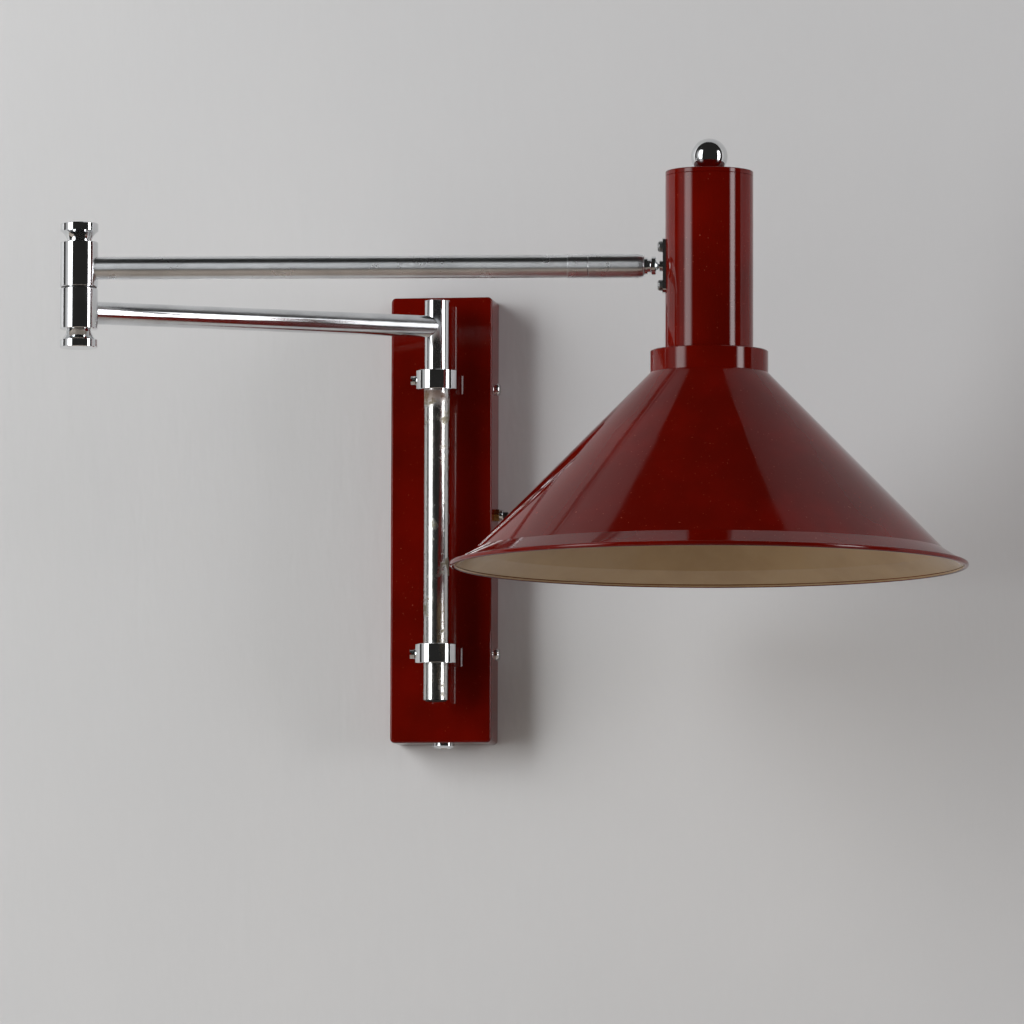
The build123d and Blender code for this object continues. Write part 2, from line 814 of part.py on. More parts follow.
# Head plate screws: domed, slotted
with BuildPart() as head_plate_screws:
    for height in (-head_screw_height, head_screw_height):
        seat = Plane(
            origin=on_arm(plate_face) + Vector(0, 0, height),
            x_dir=upper_arm_side,
            z_dir=-upper_arm_way,
        )
        with BuildSketch(seat):
            Circle(head_screw_head_radius)
        extrude(amount=head_screw_head_height)
        outward = Axis(seat.origin, seat.z_dir)
        crown = head_plate_screws.faces(Select.LAST).sort_by(outward)[-1]
        fillet(crown.edges(), head_screw_crown)
        with BuildSketch(seat):
            Circle(head_screw_radius)
        extrude(amount=-head_screw_length)
        with BuildSketch(seat.offset(head_screw_head_height)):
            Rectangle(2 * head_screw_head_radius, slot_width)
        extrude(amount=-slot_depth, mode=Mode.SUBTRACT)
keep(head_plate_screws, "head_plate_screws")

# Neck: a tube with a flange turned out at its foot
head_axis = vertical(head_x, head_y)
head_section = upright(head_x, head_y, 0)
neck_tube_top = neck_top - cap_height
flange_z = collar_z - collar_top
collar_inner = collar_radius - collar_wall
flange_outer = collar_inner - flange_gap
with BuildPart() as neck_cup:
    with BuildSketch(head_section):
        with BuildLine():
            Polyline(
                (neck_radius - neck_wall, neck_tube_top),
                (neck_radius - cap_seam_edge, neck_tube_top),
                (neck_radius, neck_tube_top - cap_seam_edge),
                (neck_radius, flange_z),
                (flange_outer, flange_z),
                (flange_outer, flange_z - neck_wall),
                (neck_radius - neck_wall, flange_z - neck_wall),
                close=True,
            )
        make_face()
    revolve(axis=head_axis)
    with BuildSketch(across_arm(arm_reach)):
        with GridLocations(0, 2 * head_screw_height, 1, 2):
            Circle(head_screw_radius + thread_gap)
        Circle(rivet_radius + thread_gap)
    extrude(amount=-2 * neck_radius, mode=Mode.SUBTRACT)
    with BuildSketch(level(head_x, head_y, flange_z - collar_top)):
        with PolarLocations(flange_screw_ring_radius, flange_screw_count):
            Circle(flange_screw_radius + stud_gap)
    extrude(amount=collar_top, mode=Mode.SUBTRACT)
keep(neck_cup, "neck_cup")

# Cap: a lid flush with the neck, located by a spigot
spigot_radius = neck_radius - neck_wall - cap_gap
with BuildPart() as neck_cap:
    with BuildSketch(head_section):
        with BuildLine():
            Polyline(
                (nipple_radius + stud_gap, neck_top),
                (neck_radius, neck_top),
                (neck_radius, neck_tube_top + cap_seam_edge),
                (neck_radius - cap_seam_edge, neck_tube_top),
                (spigot_radius, neck_tube_top),
                (spigot_radius, neck_tube_top - cap_spigot_length),
                (spigot_radius - cap_spigot_wall, neck_tube_top - cap_spigot_length),
                (spigot_radius - cap_spigot_wall, neck_top - cap_web),
                (nipple_radius + stud_gap, neck_top - cap_web),
                close=True,
            )
        make_face()
    revolve(axis=head_axis)
    top_edge = neck_cap.edges().filter_by(GeomType.CIRCLE).group_by(Axis.Z)[-1]
    fillet(top_edge.sort_by(SortBy.RADIUS)[-1], cap_web / 2)
keep(neck_cap, "neck_cap")

# Ball finial: a ball with a flat seat and a threaded hole
with BuildPart() as ball_finial:
    with Locations((head_x, head_y, neck_top + finial_rise)):
        Sphere(finial_radius)
    with BuildSketch(level(head_x, head_y, neck_top)):
        Circle(2 * finial_radius)
    extrude(amount=-2 * finial_radius, mode=Mode.SUBTRACT)
    with BuildSketch(level(head_x, head_y, neck_top)):
        Circle(nipple_radius + thread_gap)
    extrude(amount=nipple_in_finial + stud_gap, mode=Mode.SUBTRACT)
keep(ball_finial, "ball_finial")

# Threaded nipple that hangs the lampholder from the cap, with its nut
nipple_top = neck_top + nipple_in_finial
nipple_bottom = nipple_top - nipple_length
with BuildPart() as nipple:
    with BuildSketch(level(head_x, head_y, nipple_bottom)):
        Circle(nipple_radius)
        Circle(nipple_bore, mode=Mode.SUBTRACT)
    extrude(amount=nipple_length)
keep(nipple, "nipple")

with BuildPart() as nipple_nut:
    with BuildSketch(level(head_x, head_y, neck_top - cap_web)):
        RegularPolygon(nipple_nut_flat, 6, major_radius=False)
        Circle(nipple_radius + thread_gap, mode=Mode.SUBTRACT)
    extrude(amount=-nipple_nut_height)
keep(nipple_nut, "nipple_nut")

# Collar ring: a deep turned ring that covers the joint of neck and cone
with BuildPart() as collar_ring:
    with BuildSketch(head_section):
        with BuildLine():
            Polyline(
                (neck_radius + flange_gap, collar_z),
                (collar_radius - collar_edge, collar_z),
                (collar_radius, collar_z - collar_edge),
                (collar_radius, collar_z - collar_height),
                (collar_inner, collar_z - collar_height),
                (collar_inner, collar_z - collar_top),
                (neck_radius + flange_gap, collar_z - collar_top),
                close=True,
            )
        make_face()
    revolve(axis=head_axis)
    with BuildSketch(level(head_x, head_y, flange_z)):
        with PolarLocations(flange_screw_ring_radius, flange_screw_count):
            Circle(flange_screw_radius + thread_gap)
    extrude(amount=collar_top - collar_edge, mode=Mode.SUBTRACT)
keep(collar_ring, "collar_ring")

# Cone: flange, upstand inside the collar, straight cone, flared lip and rolled rim
cone_flange_z = flange_z - neck_wall
cone_top_z = collar_z - collar_height
cone_length = math.hypot(cone_radius - collar_radius, cone_drop)
cone_in = shade_wall * cone_drop / cone_length
cone_down = shade_wall * (cone_radius - collar_radius) / cone_length
lip_length = math.hypot(lip_reach, lip_drop)
lip_in = shade_wall * lip_drop / lip_length
lip_down = shade_wall * lip_reach / lip_length
lip_z = cone_top_z - cone_drop
rim_z = lip_z - lip_drop
bend_in = (cone_in + lip_in) / 2
bend_down = (cone_down + lip_down) / 2
with BuildPart() as cone_shade:
    with BuildSketch(head_section):
        with BuildLine():
            Polyline(
                (neck_radius - neck_wall, cone_flange_z),
                (flange_outer, cone_flange_z),
                (flange_outer, cone_top_z),
                (collar_radius, cone_top_z),
                (cone_radius, lip_z),
                (cone_radius + lip_reach, rim_z),
                (cone_radius + lip_reach - lip_in, rim_z - lip_down),
                (cone_radius - bend_in, lip_z - bend_down),
                (flange_outer - shade_wall, cone_top_z - shade_wall - cone_down / 2),
                (flange_outer - shade_wall, cone_flange_z - shade_wall),
                (neck_radius - neck_wall, cone_flange_z - shade_wall),
                close=True,
            )
        make_face()
        with Locations(
            (cone_radius + lip_reach - lip_in / 2, rim_z - lip_down / 2)
        ):
            Circle(rim_radius)
    revolve(axis=head_axis)
    with BuildSketch(level(head_x, head_y, cone_flange_z - 2 * shade_wall)):
        with PolarLocations(flange_screw_ring_radius, flange_screw_count):
            Circle(flange_screw_radius + stud_gap)
    extrude(amount=3 * shade_wall, mode=Mode.SUBTRACT)
keep(cone_shade, "cone_shade")

# Flange screws: from below, through cone and neck flanges into the collar
flange_seat_z = cone_flange_z - shade_wall
with BuildPart() as flange_screw_set:
    with BuildSketch(level(head_x, head_y, flange_seat_z)):
        with PolarLocations(flange_screw_ring_radius, flange_screw_count):
            Circle(flange_screw_radius)
    extrude(amount=shade_wall + neck_wall + collar_top - 2 * collar_edge)
    with BuildSketch(level(head_x, head_y, flange_seat_z)):
        with PolarLocations(flange_screw_ring_radius, flange_screw_count):
            Circle(flange_head_radius)
    extrude(amount=-flange_head_height)
keep(flange_screw_set, "flange_screws")

# Lampholder: dome, skirt, insulator, screw shell and centre contact
dome_top = nipple_bottom + nipple_in_finial
dome_bottom = dome_top - dome_height
holder_bottom = dome_bottom - holder_height
insulator_bottom = dome_bottom - insulator_height
with BuildPart() as holder_dome:
    with BuildSketch(head_section):
        with BuildLine():
            Line((nipple_radius + thread_gap, dome_top), (dome_top_radius, dome_top))
            TangentArc(
                (holder_radius, dome_bottom), (dome_top_radius, dome_top), tangent=(0, 1)
            )
            Polyline(
                (holder_radius, dome_bottom),
                (holder_radius - holder_wall, dome_bottom),
                (holder_radius - holder_wall, dome_bottom + holder_wall),
                (nipple_radius + thread_gap, nipple_bottom - holder_wall),
                (nipple_radius + thread_gap, dome_top),
            )
        make_face()
    revolve(axis=head_axis)
keep(holder_dome, "holder_dome")

with BuildPart() as holder_skirt:
    with BuildSketch(head_section):
        with BuildLine():
            Polyline(
                (holder_radius, dome_bottom),
                (holder_radius, dome_bottom - holder_wall * 3),
                (holder_mouth_radius, dome_bottom - holder_wall * 4),
                (holder_mouth_radius, holder_bottom),
                (shell_radius + shell_thickness, holder_bottom),
                (shell_radius + shell_thickness, insulator_bottom),
                (insulator_radius, insulator_bottom),
                (insulator_radius, dome_bottom),
                close=True,
            )
        make_face()
    revolve(axis=head_axis)
keep(holder_skirt, "holder_skirt")

with BuildPart() as holder_insulator:
    with BuildSketch(level(head_x, head_y, insulator_bottom)):
        Circle(insulator_radius)
    extrude(amount=insulator_height)
keep(holder_insulator, "holder_insulator")

shell_top = insulator_bottom - shell_recess
shell_bottom = shell_top - shell_length
with BuildPart() as screw_shell:
    with BuildSketch(level(head_x, head_y, shell_bottom)):
        Circle(shell_radius + shell_thickness)
        Circle(shell_radius, mode=Mode.SUBTRACT)
    extrude(amount=shell_length)
keep(screw_shell, "screw_shell")

with BuildPart() as centre_contact:
    with BuildSketch(level(head_x, head_y, insulator_bottom)):
        Circle(contact_radius)
    extrude(amount=-contact_height)
    fillet(centre_contact.faces().sort_by(Axis.Z)[0].edges(), contact_height / 2)
keep(centre_contact, "centre_contact")

print("elbow", round(elbow_x, 2), round(elbow_y, 2), "head", round(head_x, 2), round(head_y, 2))
print("upper arm z", round(upper_arm_z, 2), "neck top", round(neck_top, 2))
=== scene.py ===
import math

import bpy
from mathutils import Matrix, Vector


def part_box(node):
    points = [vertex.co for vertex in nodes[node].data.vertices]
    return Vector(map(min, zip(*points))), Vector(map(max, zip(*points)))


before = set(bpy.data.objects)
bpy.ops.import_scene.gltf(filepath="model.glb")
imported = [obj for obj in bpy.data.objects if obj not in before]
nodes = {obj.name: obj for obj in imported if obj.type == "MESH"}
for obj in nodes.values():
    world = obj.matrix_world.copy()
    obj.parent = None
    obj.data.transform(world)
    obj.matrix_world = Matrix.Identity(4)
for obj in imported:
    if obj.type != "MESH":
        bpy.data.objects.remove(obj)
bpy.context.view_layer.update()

MM = 0.001


def middle(name):
    """The middle of a node's box, seen from above."""
    low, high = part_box(name)
    return (low.x + high.x) / 2, (low.y + high.y) / 2


# Places read from the frame
box_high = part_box("wall_box")[1]
shade_low, shade_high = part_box("cone_shade")
ring_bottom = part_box("upper_bracket")[0].z
post_y = middle("post_tube")[1]
head_x, head_y = middle("cone_shade")
elbow_x, elbow_y = middle("elbow_upper_barrel")
UPPER_WAY = Vector((head_x - elbow_x, head_y - elbow_y, 0.0)).normalized()
LOWER_WAY = Vector((elbow_x, elbow_y - post_y, 0.0)).normalized()


class Shader:
    """A material with its Principled shader, and short ways to add and join nodes."""

    def __init__(self, name):
        self.material = bpy.data.materials.new(name)
        self.material.use_nodes = True
        self.tree = self.material.node_tree
        self.surface = self.tree.nodes["Principled BSDF"]

    def set(self, **values):
        for name, value in values.items():
            self.surface.inputs[name.replace("_", " ")].default_value = value

    def node(self, kind, inputs=None, **settings):
        made = self.tree.nodes.new(kind)
        for name, value in settings.items():
            setattr(made, name, value)
        for key, value in (inputs or {}).items():
            self.feed(value, made.inputs[key])
        return made

    def feed(self, value, socket):
        """Gives a socket a fixed value, or joins another node's output to it."""
        if isinstance(value, bpy.types.NodeSocket):
            self.tree.links.new(value, socket)
        else:
            socket.default_value = value

    def link(self, output, name):
        self.tree.links.new(output, self.surface.inputs[name])

    def place(self):
        """The position in the row frame, in metres. It rides with the piece."""
        return self.node("ShaderNodeTexCoord").outputs["Object"]

    def axes(self, vector):
        return self.node("ShaderNodeSeparateXYZ", {0: vector}).outputs

    def noise(self, vector, scale, detail=3.0, roughness=0.55):
        inputs = {"Vector": vector, "Scale": scale, "Detail": detail, "Roughness": roughness}
        return self.node("ShaderNodeTexNoise", inputs).outputs["Fac"]

    def math(self, operation, first, second=0.0, clamp=False):
        return self.node(
            "ShaderNodeMath", {0: first, 1: second}, operation=operation, use_clamp=clamp
        ).outputs[0]

    def times(self, first, second):
        return self.math("MULTIPLY", first, second)

    def spread(self, value, low, high, to_low=0.0, to_high=1.0):
        """A smooth step of a value from one range to another."""
        inputs = {
            "Value": value,
            "From Min": low,
            "From Max": high,
            "To Min": to_low,
            "To Max": to_high,
        }
        made = self.node("ShaderNodeMapRange", inputs, interpolation_type="SMOOTHSTEP")
        return made.outputs["Result"]

    def mix(self, factor, first, second):
        """One colour or another, by a factor from 0 to 1."""
        made = self.node("ShaderNodeMix", data_type="RGBA")
        kinds = (("Factor", "VALUE", factor), ("A", "RGBA", first), ("B", "RGBA", second))
        for name, kind, value in kinds:
            socket = [s for s in made.inputs if s.name == name and s.type == kind][0]
            self.feed(value, socket)
        return [s for s in made.outputs if s.type == "RGBA"][0]

    def bump(self, height, distance, strength, below=None):
        inputs = {"Height": height, "Distance": distance, "Strength": strength}
        if below is not None:
            inputs["Normal"] = below
        return self.node("ShaderNodeBump", inputs).outputs["Normal"]

    def streaks(self, vector, squeeze, scale):
        """Noise that is squeezed by an amount along each axis."""
        inputs = {"Vector": vector, "Scale": squeeze}
        squeezed = self.node("ShaderNodeMapping", inputs).outputs["Vector"]
        return self.noise(squeezed, scale, detail=2.0, roughness=0.7)


def srgb(red, green, blue):
    """A colour given as 0 to 255, as the linear values that a shader takes."""
    def line(value):
        value = value / 255
        if value <= 0.04045:
            return value / 12.92
        return ((value + 0.055) / 1.055) ** 2.4
    return (line(red), line(green), line(blue), 1.0)


# Lacquer: deep red gloss outside, cream enamel inside
LACQUER = srgb(98, 8, 1)
LACQUER_DARK = srgb(83, 7, 1)
LACQUER_DUST = srgb(126, 56, 44)
CREAM = srgb(174, 148, 113)
CREAM_DULL = srgb(164, 137, 103)
LACQUER_INDEX = 1.33
PEEL_HEIGHT = 0.008 * MM
WAVE_HEIGHT = 0.06 * MM
GLOSS_STRENGTH = 0.2

# Where red meets cream: inside the shade's rolled rim, and within the neck's wall
RIM_WIDTH = 3.0 * MM
RIM_BLEND = 0.15 * MM
FACING_BLEND = 0.02
NECK_LINING = 29.5 * MM
NECK_BLEND = 0.1 * MM


def lacquer_colour(shader, place):
    """Red that clouds a little, with a few specks of dust in it."""
    clouds = shader.spread(shader.noise(place, 14.0, 4.0), 0.35, 0.65)
    red = shader.mix(clouds, LACQUER_DARK, LACQUER)
    specks = shader.spread(shader.noise(place, 620.0, 1.0), 0.735, 0.77)
    return shader.mix(specks, red, LACQUER_DUST)


def lacquer_gloss(shader, place):
    """Orange peel and smears in a sprayed gloss coat."""
    peel = shader.noise(place, 210.0, 2.0)
    waves = shader.noise(place, 38.0, 2.0)
    fine = shader.bump(peel, PEEL_HEIGHT, GLOSS_STRENGTH)
    shader.link(shader.bump(waves, WAVE_HEIGHT, GLOSS_STRENGTH, fine), "Normal")
    smears = shader.spread(shader.noise(place, 26.0, 6.0), 0.35, 0.8, 0.035, 0.10)
    shader.link(smears, "Roughness")
    shader.set(IOR=LACQUER_INDEX)


def from_head_axis(shader, place):
    """The distance from the upright axis of neck and shade."""
    x, y = shader.axes(place)[0], shader.axes(place)[1]
    from_x = shader.math("SUBTRACT", x, head_x)
    from_y = shader.math("SUBTRACT", y, head_y)
    square = shader.math("ADD", shader.times(from_x, from_x), shader.times(from_y, from_y))
    return shader.math("SQRT", square)


def red_lacquer():
    shader = Shader("red_lacquer")
    place = shader.place()
    shader.link(lacquer_colour(shader, place), "Base Color")
    lacquer_gloss(shader, place)
    return shader.material


def shade_enamel():
    """The cone: red outside, cream inside, parted at the rolled rim."""
    shader = Shader("shade_enamel")
    place = shader.place()
    facing = shader.axes(shader.node("ShaderNodeTexCoord").outputs["Normal"])
    rim = (shade_high.x - shade_low.x) / 2 - RIM_WIDTH
    turned_down = shader.spread(facing[2], FACING_BLEND, -FACING_BLEND)
    radius = from_head_axis(shader, place)
    within = shader.spread(radius, rim + RIM_BLEND, rim - RIM_BLEND)
    inside = shader.times(turned_down, within)
    dull = shader.spread(shader.noise(place, 22.0, 5.0), 0.4, 0.7)
    cream = shader.mix(dull, CREAM, CREAM_DULL)
    red = lacquer_colour(shader, place)
    shader.link(shader.mix(inside, red, cream), "Base Color")
    lacquer_gloss(shader, place)
    return shader.material


def neck_enamel():
    """The neck: red outside, cream inside."""
    shader = Shader("neck_enamel")
    place = shader.place()
    radius = from_head_axis(shader, place)
    inside = shader.spread(radius, NECK_LINING + NECK_BLEND, NECK_LINING - NECK_BLEND)
    shader.link(shader.mix(inside, lacquer_colour(shader, place), CREAM), "Base Color")
    lacquer_gloss(shader, place)
    return shader.material


# Metals
CHROME = srgb(226, 228, 230)
CHROME_SMEARED = srgb(214, 215, 215)
CHROME_DRAWN = srgb(206, 208, 210)
CHROME_DULL = srgb(188, 186, 180)
RUST = srgb(96, 62, 34)
OLD_DIRT = srgb(120, 112, 78)
ZINC = srgb(150, 152, 152)
ZINC_BRIGHT = srgb(178, 180, 180)
HAIRLINE_DEPTH = 0.004 * MM
PIT_DEPTH = 0.03 * MM
ZINC_GRAIN = 0.01 * MM
BRASS_GRAIN = 0.006 * MM

# How far below the post's upper ring each kind of wear begins and is full
WORN_FROM, WORN_FULL = -1.0 * MM, 1.5 * MM
STAIN_FROM, STAIN_FULL = 14.0 * MM, 3.0 * MM
SPOTS_FROM, SPOTS_FULL = 30.0 * MM, 1.0 * MM


def polished_chrome():
    """Polished plating with fine marks and smears."""
    shader = Shader("polished_chrome")
    place = shader.place()
    smears = shader.spread(shader.noise(place, 45.0, 6.0), 0.35, 0.75)
    shader.link(shader.mix(smears, CHROME, CHROME_SMEARED), "Base Color")
    marks = shader.streaks(place, (1.0, 1.0, 1.0), 900.0)
    rough = shader.spread(shader.noise(place, 60.0, 5.0), 0.3, 0.8, 0.035, 0.11)
    shader.link(rough, "Roughness")
    shader.link(shader.bump(marks, HAIRLINE_DEPTH, 0.25), "Normal")
    shader.set(Metallic=1.0)
    return shader.material


def drawn_chrome(name, way, low_rough):
    """A tube's plating, polished round the tube, so that highlights spread along it."""
    shader = Shader(name)
    place = shader.place()
    smears = shader.spread(shader.noise(place, 30.0, 6.0), 0.35, 0.75)
    shader.link(shader.mix(smears, CHROME, CHROME_DRAWN), "Base Color")
    rough = shader.spread(shader.noise(place, 60.0, 5.0), 0.3, 0.8, low_rough, low_rough + 0.05)
    shader.link(rough, "Roughness")
    along = shader.node(
        "ShaderNodeVectorTransform",
        {"Vector": way},
        vector_type="VECTOR",
        convert_from="OBJECT",
        convert_to="WORLD",
    )
    shader.link(along.outputs["Vector"], "Tangent")
    shader.set(Metallic=1.0, Anisotropic=1.0)
    return shader.material


def worn_chrome():
    """The post: bright above its upper ring, spotted and dull below it."""
    shader = Shader("worn_chrome")
    place = shader.place()
    z = shader.axes(place)[2]

    def under_ring(start, full):
        return shader.spread(z, ring_bottom - start, ring_bottom - full)

    below = under_ring(WORN_FROM, WORN_FULL)
    near_ring = under_ring(SPOTS_FROM, SPOTS_FULL)
    at_ring = under_ring(STAIN_FROM, STAIN_FULL)
    spots = shader.noise(place, 330.0, 6.0, 0.65)
    blotches = shader.noise(place, 85.0, 5.0, 0.6)
    level = shader.math("ADD", blotches, shader.times(near_ring, 0.06))
    patches = shader.times(shader.spread(level, 0.57, 0.68), below)
    pits = shader.times(shader.spread(spots, 0.60, 0.66), below)
    ring_dirt = shader.times(shader.spread(level, 0.40, 0.54), at_ring)
    stain = shader.times(ring_dirt, below)

    colour = shader.mix(shader.times(below, 0.55), CHROME, CHROME_DULL)
    for amount, most, dirt in (
        (patches, 0.75, OLD_DIRT), (pits, 0.7, RUST), (stain, 0.8, RUST)
    ):
        colour = shader.mix(shader.times(amount, most), colour, dirt)
    shader.link(colour, "Base Color")

    clean = shader.spread(blotches, 0.3, 0.7, 0.04, 0.12)
    rough = shader.math("ADD", clean, shader.times(below, 0.12))
    rough = shader.math("ADD", rough, shader.times(patches, 0.3))
    rough = shader.math("ADD", rough, shader.times(stain, 0.4), clamp=True)
    shader.link(rough, "Roughness")
    metal = shader.math("SUBTRACT", 1.0, shader.times(stain, 0.7), clamp=True)
    shader.link(metal, "Metallic")
    shader.link(shader.bump(shader.times(pits, -1.0), PIT_DEPTH, 0.6), "Normal")
    return shader.material


def plated_steel():
    """Zinc plate: grey with the crystal pattern that dipping leaves."""
    shader = Shader("plated_steel")
    place = shader.place()
    cells = shader.node("ShaderNodeTexVoronoi", {"Vector": place, "Scale": 260.0})
    grain = shader.axes(cells.outputs["Color"])[0]
    shader.link(shader.mix(grain, ZINC, ZINC_BRIGHT), "Base Color")
    shader.link(shader.spread(grain, 0.0, 1.0, 0.28, 0.42), "Roughness")
    shader.set(Metallic=1.0)
    shader.link(shader.bump(shader.noise(place, 700.0), ZINC_GRAIN, 0.4), "Normal")
    return shader.material


def brass(name, light, dark, rough):
    """Brass that is darker and duller where it is tarnished."""
    shader = Shader(name)
    place = shader.place()
    tarnish = shader.spread(shader.noise(place, 160.0, 5.0), 0.4, 0.68)
    shader.link(shader.mix(tarnish, light, dark), "Base Color")
    shader.link(shader.spread(tarnish, 0.0, 1.0, rough, rough + 0.25), "Roughness")
    shader.set(Metallic=1.0)
    shader.link(shader.bump(shader.noise(place, 1200.0), BRASS_GRAIN, 0.4), "Normal")
    return shader.material


def moulded(name, light, dark, rough, grain):
    """Plastic or glazed porcelain with an even grain."""
    shader = Shader(name)
    place = shader.place()
    shade = shader.spread(shader.noise(place, 90.0, 4.0), 0.3, 0.7)
    shader.link(shader.mix(shade, dark, light), "Base Color")
    dullness = shader.spread(shader.noise(place, 400.0), 0.3, 0.7, rough, rough + 0.12)
    shader.link(dullness, "Roughness")
    shader.link(shader.bump(shader.noise(place, 1500.0, 2.0), grain, 0.5), "Normal")
    return shader.material


def dress(material, *names):
    """Gives CAD nodes their finish."""
    for name in names:
        mesh = nodes[name].data
        mesh.materials.clear()
        mesh.materials.append(material)


lacquer = red_lacquer()
chrome = polished_chrome()
steel = plated_steel()
dull_brass = brass("dull_brass", srgb(168, 138, 84), srgb(84, 62, 34), rough=0.25)
clean_brass = brass("clean_brass", srgb(214, 182, 110), srgb(160, 124, 66), rough=0.16)
black = moulded(
    "black_plastic", srgb(38, 37, 36), srgb(24, 23, 22), rough=0.32, grain=0.012 * MM
)
porcelain = moulded(
    "porcelain", srgb(232, 229, 220), srgb(220, 215, 203), rough=0.12, grain=0.003 * MM
)

dress(lacquer, "wall_box", "neck_cap", "collar_ring")
dress(shade_enamel(), "cone_shade")
dress(neck_enamel(), "neck_cup")
dress(worn_chrome(), "post_tube")
dress(
    chrome,
    "cover_screws", "upper_bracket", "lower_bracket", "pinch_screws", "cable_grommet",
    "switch_bush", "post_plug", "elbow_lower_barrel", "bottom_knob", "elbow_upper_barrel",
    "top_knob", "swivel_cup", "ball_stud", "head_plate", "ball_finial",
)
dress(drawn_chrome("drawn_chrome_lower", LOWER_WAY, low_rough=0.12), "lower_arm_tube")
dress(
    drawn_chrome("drawn_chrome_upper", UPPER_WAY, low_rough=0.27),
    "upper_arm_tube", "arm_ferrule", "end_sleeve",
)
dress(
    steel,
    "back_plate", "bracket_washers", "bracket_nuts", "grommet_nut", "pivot_stud",
    "backing_strip", "head_plate_screws", "flange_screws",
)
dress(dull_brass, "switch_nut", "nipple", "nipple_nut")
dress(clean_brass, "screw_shell", "centre_contact")
dress(
    black,
    "switch_body", "switch_button", "post_end_bush", "elbow_washer", "holder_dome",
    "holder_skirt",
)
dress(porcelain, "holder_insulator", "terminal_block")

for cad_node in nodes.values():
    for face in cad_node.data.polygons:
        face.use_smooth = True


# Stage: a plaster wall with a hole behind the wall box, and a pale floor. Both are clear
# from behind, so that the lamp is seen from there too.
WALL_HALF_WIDTH = 2.2
WALL_TOP = 1.6
FLOOR_HEIGHT = -1.1
FLOOR_FRONT = -3.2
FLOOR_BACK = 1.6
WALL_SETBACK = 0.3 * MM
HOLE_INSET = 2.5 * MM
PLASTER = srgb(194, 195, 196)
PLASTER_LIGHT = srgb(202, 202, 202)
PLASTER_ROUGHNESS = 0.8
PLASTER_GRAIN = 0.25 * MM
STROKE_DEPTH = 0.6 * MM
STROKE_SQUEEZE = (4.0, 1.0, 1.2)
FLOOR_ROUGHNESS = 0.7


def seen_from_front(shader):
    """Makes a stage surface clear when it is seen from its back."""
    back = shader.node("ShaderNodeNewGeometry").outputs["Backfacing"]
    clear = shader.node("ShaderNodeBsdfTransparent").outputs[0]
    joined = shader.node(
        "ShaderNodeMixShader", {0: back, 1: shader.surface.outputs[0], 2: clear}
    )
    output = shader.tree.nodes["Material Output"]
    shader.tree.links.new(joined.outputs[0], output.inputs["Surface"])


def plaster():
    """White plaster with the strokes of a broad brush."""
    shader = Shader("stage_plaster")
    place = shader.place()
    clouds = shader.noise(place, 3.2, 6.0, 0.6)
    shader.link(shader.mix(clouds, PLASTER, PLASTER_LIGHT), "Base Color")
    shader.set(Roughness=PLASTER_ROUGHNESS)
    strokes = shader.streaks(place, STROKE_SQUEEZE, 22.0)
    grain = shader.bump(shader.noise(place, 90.0, 5.0, 0.6), PLASTER_GRAIN, 0.25)
    shader.link(shader.bump(strokes, STROKE_DEPTH, 0.5, grain), "Normal")
    seen_from_front(shader)
    return shader.material


def pale_floor():
    """A floor that is pale to the camera and throws a little less light up at the lamp."""
    shader = Shader("stage_floor")
    clouds = shader.noise(shader.place(), 2.0, 5.0)
    bounced = shader.mix(clouds, srgb(150, 139, 128), srgb(160, 149, 138))
    looked_at = shader.mix(clouds, srgb(208, 203, 197), srgb(216, 212, 206))
    to_camera = shader.node("ShaderNodeLightPath").outputs["Is Camera Ray"]
    shader.link(shader.mix(to_camera, bounced, looked_at), "Base Color")
    shader.set(Roughness=FLOOR_ROUGHNESS)
    seen_from_front(shader)
    return shader.material


def stage_mesh(name, corners, faces, material):
    mesh = bpy.data.meshes.new(name)
    mesh.from_pydata(corners, [], faces)
    mesh.materials.append(material)
    made = bpy.data.objects.new(name, mesh)
    bpy.context.scene.collection.objects.link(made)


def upright(half_width, bottom, top):
    """The corners of a rectangle on the wall, anticlockwise from the lower left."""
    return [
        (-half_width, WALL_SETBACK, bottom),
        (half_width, WALL_SETBACK, bottom),
        (half_width, WALL_SETBACK, top),
        (-half_width, WALL_SETBACK, top),
    ]


hole_x = box_high.x - HOLE_INSET
hole_z = box_high.z - HOLE_INSET
wall_corners = upright(WALL_HALF_WIDTH, FLOOR_HEIGHT, WALL_TOP) + upright(hole_x, -hole_z, hole_z)
wall_faces = [(0, 1, 5, 4), (1, 2, 6, 5), (2, 3, 7, 6), (3, 0, 4, 7)]
stage_mesh("stage_wall", wall_corners, wall_faces, plaster())
floor_corners = [
    (-WALL_HALF_WIDTH, FLOOR_FRONT, FLOOR_HEIGHT),
    (WALL_HALF_WIDTH, FLOOR_FRONT, FLOOR_HEIGHT),
    (WALL_HALF_WIDTH, FLOOR_BACK, FLOOR_HEIGHT),
    (-WALL_HALF_WIDTH, FLOOR_BACK, FLOOR_HEIGHT),
]
stage_mesh("stage_floor", floor_corners, [(0, 1, 2, 3)], pale_floor())


# Camera: far off, a little to the right of the lamp, looking slightly up
YAW = math.radians(8.5)
RISE = math.radians(5.11)
ROLL = math.radians(0.15)
DISTANCE = 6.0
MM_PER_PIXEL = 0.682
PHOTO_SIZE = 1024
TARGET = Vector((79.3, -224.0, -12.5)) * MM
SENSOR = 36.0
FAR_CLIP = 100.0

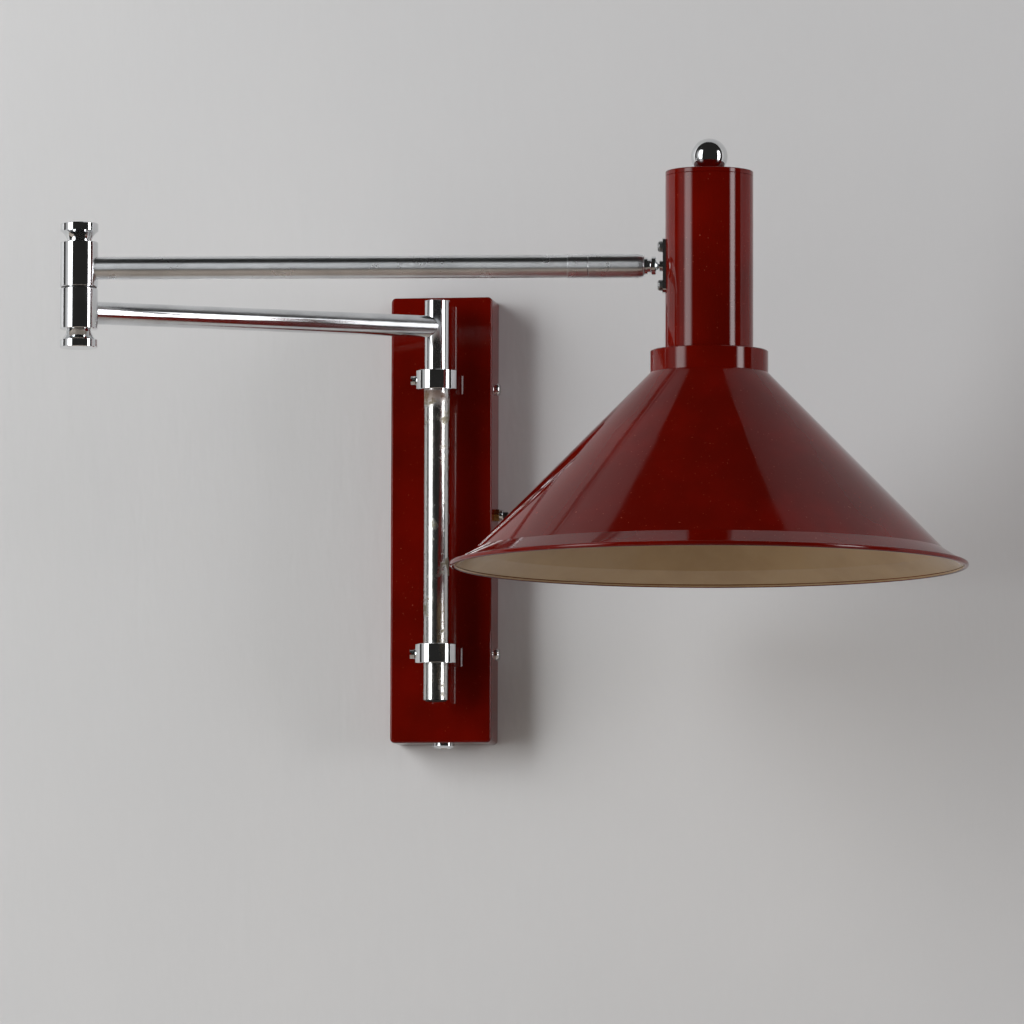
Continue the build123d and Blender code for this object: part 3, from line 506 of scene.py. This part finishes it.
forward = Vector(
    (-math.sin(YAW) * math.cos(RISE), math.cos(YAW) * math.cos(RISE), math.sin(RISE))
)
right = Vector((math.cos(YAW), math.sin(YAW), 0.0))
up = right.cross(forward)
rolled_right = math.cos(ROLL) * right + math.sin(ROLL) * up
rolled_up = -math.sin(ROLL) * right + math.cos(ROLL) * up
turn = Matrix((rolled_right, rolled_up, -forward)).transposed()
camera_data = bpy.data.cameras.new("camera")
camera_data.sensor_width = SENSOR
camera_data.lens = SENSOR * DISTANCE / MM / (PHOTO_SIZE * MM_PER_PIXEL)
camera_data.clip_end = FAR_CLIP
camera = bpy.data.objects.new("camera", camera_data)
camera.matrix_world = Matrix.Translation(TARGET - forward * DISTANCE) @ turn.to_4x4()
bpy.context.scene.collection.objects.link(camera)
bpy.context.scene.camera = camera


# Light: soft windows on the left and the right, the room's own light from both sides,
# which polished surfaces don't mirror, and a lamp behind the wall for views from there
def fade_edges(data, edge):
    """Lets the light fall off towards the edges of its rectangle."""
    data.use_nodes = True
    tree = data.node_tree
    across = tree.nodes.new("ShaderNodeNewGeometry").outputs["Parametric"]
    split = tree.nodes.new("ShaderNodeSeparateXYZ")
    tree.links.new(across, split.inputs[0])
    ramps = []
    for axis in (0, 1):
        for start, end in ((0.0, edge), (1.0, 1.0 - edge)):
            ramp = tree.nodes.new("ShaderNodeMapRange")
            ramp.interpolation_type = "SMOOTHSTEP"
            ramp.inputs["From Min"].default_value = start
            ramp.inputs["From Max"].default_value = end
            tree.links.new(split.outputs[axis], ramp.inputs["Value"])
            ramps.append(ramp.outputs["Result"])
    total = ramps[0]
    for ramp in ramps[1:]:
        product = tree.nodes.new("ShaderNodeMath")
        product.operation = "MULTIPLY"
        tree.links.new(total, product.inputs[0])
        tree.links.new(ramp, product.inputs[1])
        total = product.outputs[0]
    tree.links.new(total, tree.nodes["Emission"].inputs["Strength"])


def soft_light(name, azimuth, elevation, distance, size, edge, brightness, tint, mirrored):
    """A rectangle of light that faces the lamp, from an azimuth left or right of the camera."""
    angle = YAW + math.radians(azimuth)
    rise = math.radians(elevation)
    way = Vector(
        (math.sin(angle) * math.cos(rise), -math.cos(angle) * math.cos(rise), math.sin(rise))
    )
    width, height = size
    data = bpy.data.lights.new(name, "AREA")
    data.shape = "RECTANGLE"
    data.size = width
    data.size_y = height
    data.energy = brightness * math.pi * width * height
    data.color = tint
    fade_edges(data, edge)
    made = bpy.data.objects.new(name, data)
    made.location = TARGET + way * distance
    made.rotation_euler = way.to_track_quat("Z", "Y").to_euler()
    made.visible_glossy = mirrored
    bpy.context.scene.collection.objects.link(made)


# Azimuth and elevation in degrees, distance and size in metres, soft part of each edge,
# brightness, tint, and whether polished surfaces mirror the light
LIGHTS = {
    "window_core": (-57.0, 14.0, 2.5, (1.3, 2.9), 0.34, 6.7, (0.97, 0.99, 1.0), True),
    "window_skirt": (-72.0, 12.0, 2.7, (2.4, 3.2), 0.4, 0.6, (1.0, 1.0, 1.0), True),
    "room_light": (-76.0, 9.0, 2.7, (3.4, 3.9), 0.22, 2.7, (1.0, 0.99, 0.985), False),
    "side_window": (63.0, 9.0, 2.3, (0.75, 2.4), 0.34, 10.5, (1.0, 0.98, 1.0), True),
    "far_light": (67.0, 9.0, 2.3, (1.3, 2.4), 0.3, 0.9, (1.0, 0.95, 0.92), False),
    "back_light": (168.0, 20.0, 3.0, (2.4, 2.0), 0.2, 2.0, (1.0, 1.0, 1.0), True),
}
for light_name, light_values in LIGHTS.items():
    soft_light(light_name, *light_values)

# The room: dim, but pale where the camera sees past the stage
ROOM_TINT = (1.0, 0.97, 0.93, 1.0)
ROOM_STRENGTH = 0.022
PALE_STRENGTH = 0.52

world = bpy.data.worlds.new("world")
world.use_nodes = True
room = world.node_tree
to_camera = room.nodes.new("ShaderNodeLightPath").outputs["Is Camera Ray"]
strength = room.nodes.new("ShaderNodeMath")
strength.operation = "MULTIPLY_ADD"
strength.inputs[1].default_value = PALE_STRENGTH
strength.inputs[2].default_value = ROOM_STRENGTH
background = room.nodes["Background"]
background.inputs["Color"].default_value = ROOM_TINT
room.links.new(to_camera, strength.inputs[0])
room.links.new(strength.outputs[0], background.inputs["Strength"])
bpy.context.scene.world = world
bpy.context.scene.view_settings.view_transform = "Standard"
